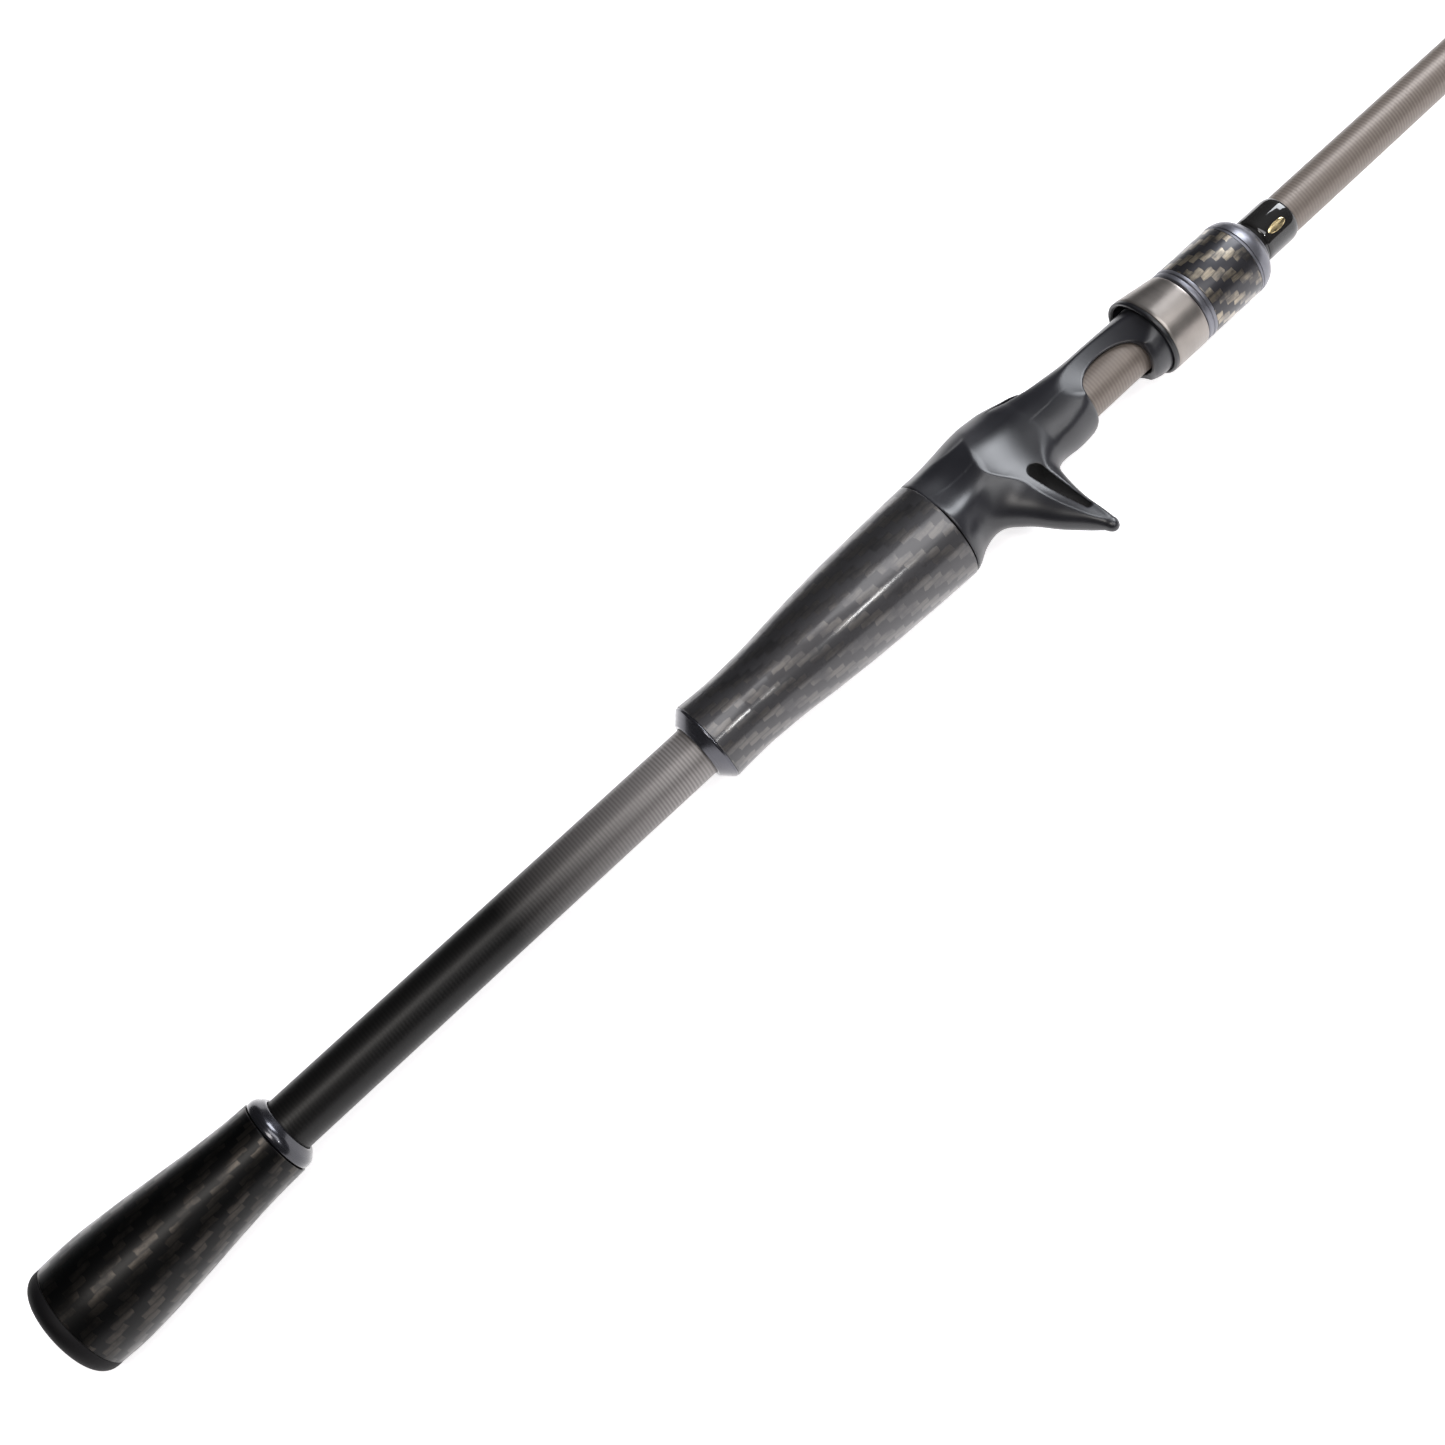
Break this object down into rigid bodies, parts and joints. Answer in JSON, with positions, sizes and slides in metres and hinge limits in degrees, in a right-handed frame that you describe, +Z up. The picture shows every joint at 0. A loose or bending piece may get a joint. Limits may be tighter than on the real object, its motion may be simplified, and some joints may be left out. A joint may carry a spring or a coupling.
{
  "type": "baitcasting fishing rod",
  "caption": "One-piece bait-casting rod with split carbon grips, trigger reel seat with sliding hood and lock nut, ringed guides and tip-top.",
  "frame": {"origin": "centre of the butt cap's flat end, on the rod's axis", "axes": "+X along the rod to the tip, +Y to the reel side, trigger towards -Y, +Z up from the surface that the rod lies on"},
  "size_m": [2.133, 0.0519, 0.029],
  "materials": {
    "blank_graphite": "satin",
    "matte_black_plastic": "satin",
    "grip_foam": "matte",
    "carbon_skin": "gloss",
    "black_anodised": "satin",
    "gunmetal": "satin",
    "gold_inlay": "gloss",
    "guide_ceramic": "gloss",
    "guide_frame": "satin",
    "thread_wrap": "gloss"
  },
  "bodies": {
    "rod": {"blank": "blank_graphite", "butt_cap": "matte_black_plastic", "butt_check_ring": "black_anodised", "butt_grip_core": "grip_foam", "butt_grip_skin": "carbon_skin", "fore_inlay": "gold_inlay", "fore_wrap": "thread_wrap", "front_arbor": "grip_foam", "guide_1_frame": "guide_frame", "guide_1_ring": "guide_ceramic", "guide_1_wraps": "thread_wrap", "guide_2_frame": "guide_frame", "guide_2_ring": "guide_ceramic", "guide_2_wraps": "thread_wrap", "guide_3_frame": "guide_frame", "guide_3_ring": "guide_ceramic", "guide_3_wraps": "thread_wrap", "guide_4_frame": "guide_frame", "guide_4_ring": "guide_ceramic", "guide_4_wraps": "thread_wrap", "guide_5_frame": "guide_frame", "guide_5_ring": "guide_ceramic", "guide_5_wraps": "thread_wrap", "guide_6_frame": "guide_frame", "guide_6_ring": "guide_ceramic", "guide_6_wraps": "thread_wrap", "guide_7_frame": "guide_frame", "guide_7_ring": "guide_ceramic", "guide_7_wraps": "thread_wrap", "guide_8_frame": "guide_frame", "guide_8_ring": "guide_ceramic", "guide_8_wraps": "thread_wrap", "rear_arbor": "grip_foam", "rear_grip_core": "grip_foam", "rear_grip_ring": "black_anodised", "rear_grip_skin": "carbon_skin", "reel_seat_body": "matte_black_plastic", "tip_top_frame": "guide_frame", "tip_top_ring": "guide_ceramic", "tip_top_wrap": "thread_wrap"},
    "hood": {"hood_liner": "matte_black_plastic", "hood_shell": "gunmetal"},
    "nut": {"nut_core": "matte_black_plastic", "nut_rear_ring": "black_anodised", "nut_sleeve": "carbon_skin", "nut_front_ring": "black_anodised"}
  },
  "joints": [
    {"name": "hood_slide", "type": "slide", "parent": "rod", "child": "hood", "axis": [-1, 0, 0], "range_m": [0, 0.0105]},
    {"name": "nut_spin", "type": "hinge", "parent": "hood", "child": "nut", "pos_m": [0.37, 0, 0], "axis": [-1, 0, 0], "range_deg": [0, 2520]}
  ],
  "couplings": [
    {"joint": "nut_spin", "follows": "hood_slide", "rad_per_m": 4188.8}
  ]
}
